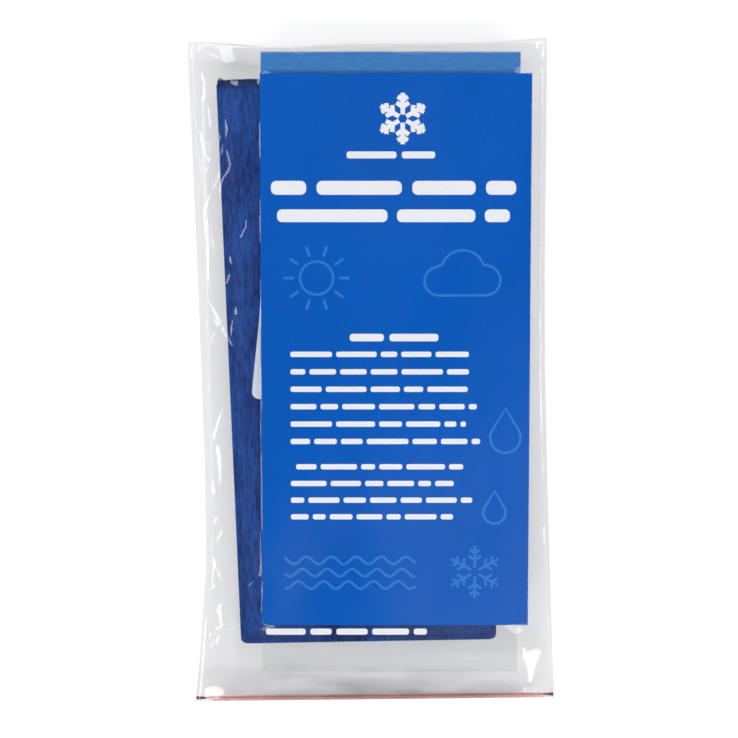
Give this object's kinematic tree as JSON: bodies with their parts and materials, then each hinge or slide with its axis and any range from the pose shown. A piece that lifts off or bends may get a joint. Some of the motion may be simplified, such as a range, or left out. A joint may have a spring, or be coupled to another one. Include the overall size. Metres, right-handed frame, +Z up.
{
  "type": "insulin cooling case in its bag",
  "caption": "Flat fabric cooling case with a quilted crystal-filled inner pouch for insulin pens, packed with a folded leaflet and a clear sleeve in a clear grip-seal bag.",
  "frame": {"origin": "under the middle of the bag, on the surface that the pack lies on", "axes": "+Y along the bag towards its closed end, +Z up out of its face, +X to the right seen from the front"},
  "size_m": [0.1238, 0.2256, 0.0153],
  "materials": {
    "bag_film": "clear glossy polyethylene film",
    "zip_plastic": "translucent red grip-seal profile",
    "cover_fabric": "matt navy woven cotton blend with an upright slub",
    "sewing_thread": "dark navy overlock thread",
    "closure_tape": "hook-and-loop tape",
    "liner_fabric": "fine white woven liner, quilted",
    "binding_tape": "woven edge tape",
    "crystals": "dry water-holding polymer granules",
    "label_cloth": "white satin label, bare",
    "sleeve_film": "clear film with a pale blue band at its head",
    "leaflet_paper": "coated blue paper"
  },
  "bodies": {
    "bag": {"bag_back_film": "bag_film", "bag_front_film": "bag_film", "zip_groove": "zip_plastic", "zip_rib": "zip_plastic"},
    "inner_pouch": {"liner_front_inner": "liner_fabric", "liner_front_outer": "liner_fabric", "liner_back_inner": "liner_fabric", "liner_back_outer": "liner_fabric", "crystal_fill_front_1": "crystals", "crystal_fill_front_2": "crystals", "crystal_fill_front_3": "crystals", "crystal_fill_front_4": "crystals", "crystal_fill_front_5": "crystals", "crystal_fill_back_1": "crystals", "crystal_fill_back_2": "crystals", "crystal_fill_back_3": "crystals", "crystal_fill_back_4": "crystals", "crystal_fill_back_5": "crystals", "edge_binding": "binding_tape"},
    "cover": {"cover_front_panel": "cover_fabric", "cover_back_panel": "cover_fabric", "mouth_edging_front": "sewing_thread", "mouth_edging_back": "sewing_thread", "hook_strip": "closure_tape", "loop_strip": "closure_tape", "front_label": "label_cloth"},
    "sleeve": {"sleeve_back_film": "sleeve_film", "sleeve_front_film": "sleeve_film"},
    "leaflet": {"leaflet": "leaflet_paper"}
  },
  "joints": [
    {"name": "case_slide", "type": "slide", "parent": "bag", "child": "inner_pouch", "axis": [0, -1, 0], "range_m": [0, 0.215]},
    {"name": "cover_slide", "type": "slide", "parent": "inner_pouch", "child": "cover", "axis": [0.0175, -0.9998, 0], "range_m": [0, 0.19]},
    {"name": "sleeve_slide", "type": "slide", "parent": "bag", "child": "sleeve", "axis": [0, -1, 0], "range_m": [0, 0.222]},
    {"name": "leaflet_slide", "type": "slide", "parent": "bag", "child": "leaflet", "axis": [0, -1, 0], "range_m": [0, 0.215]}
  ]
}
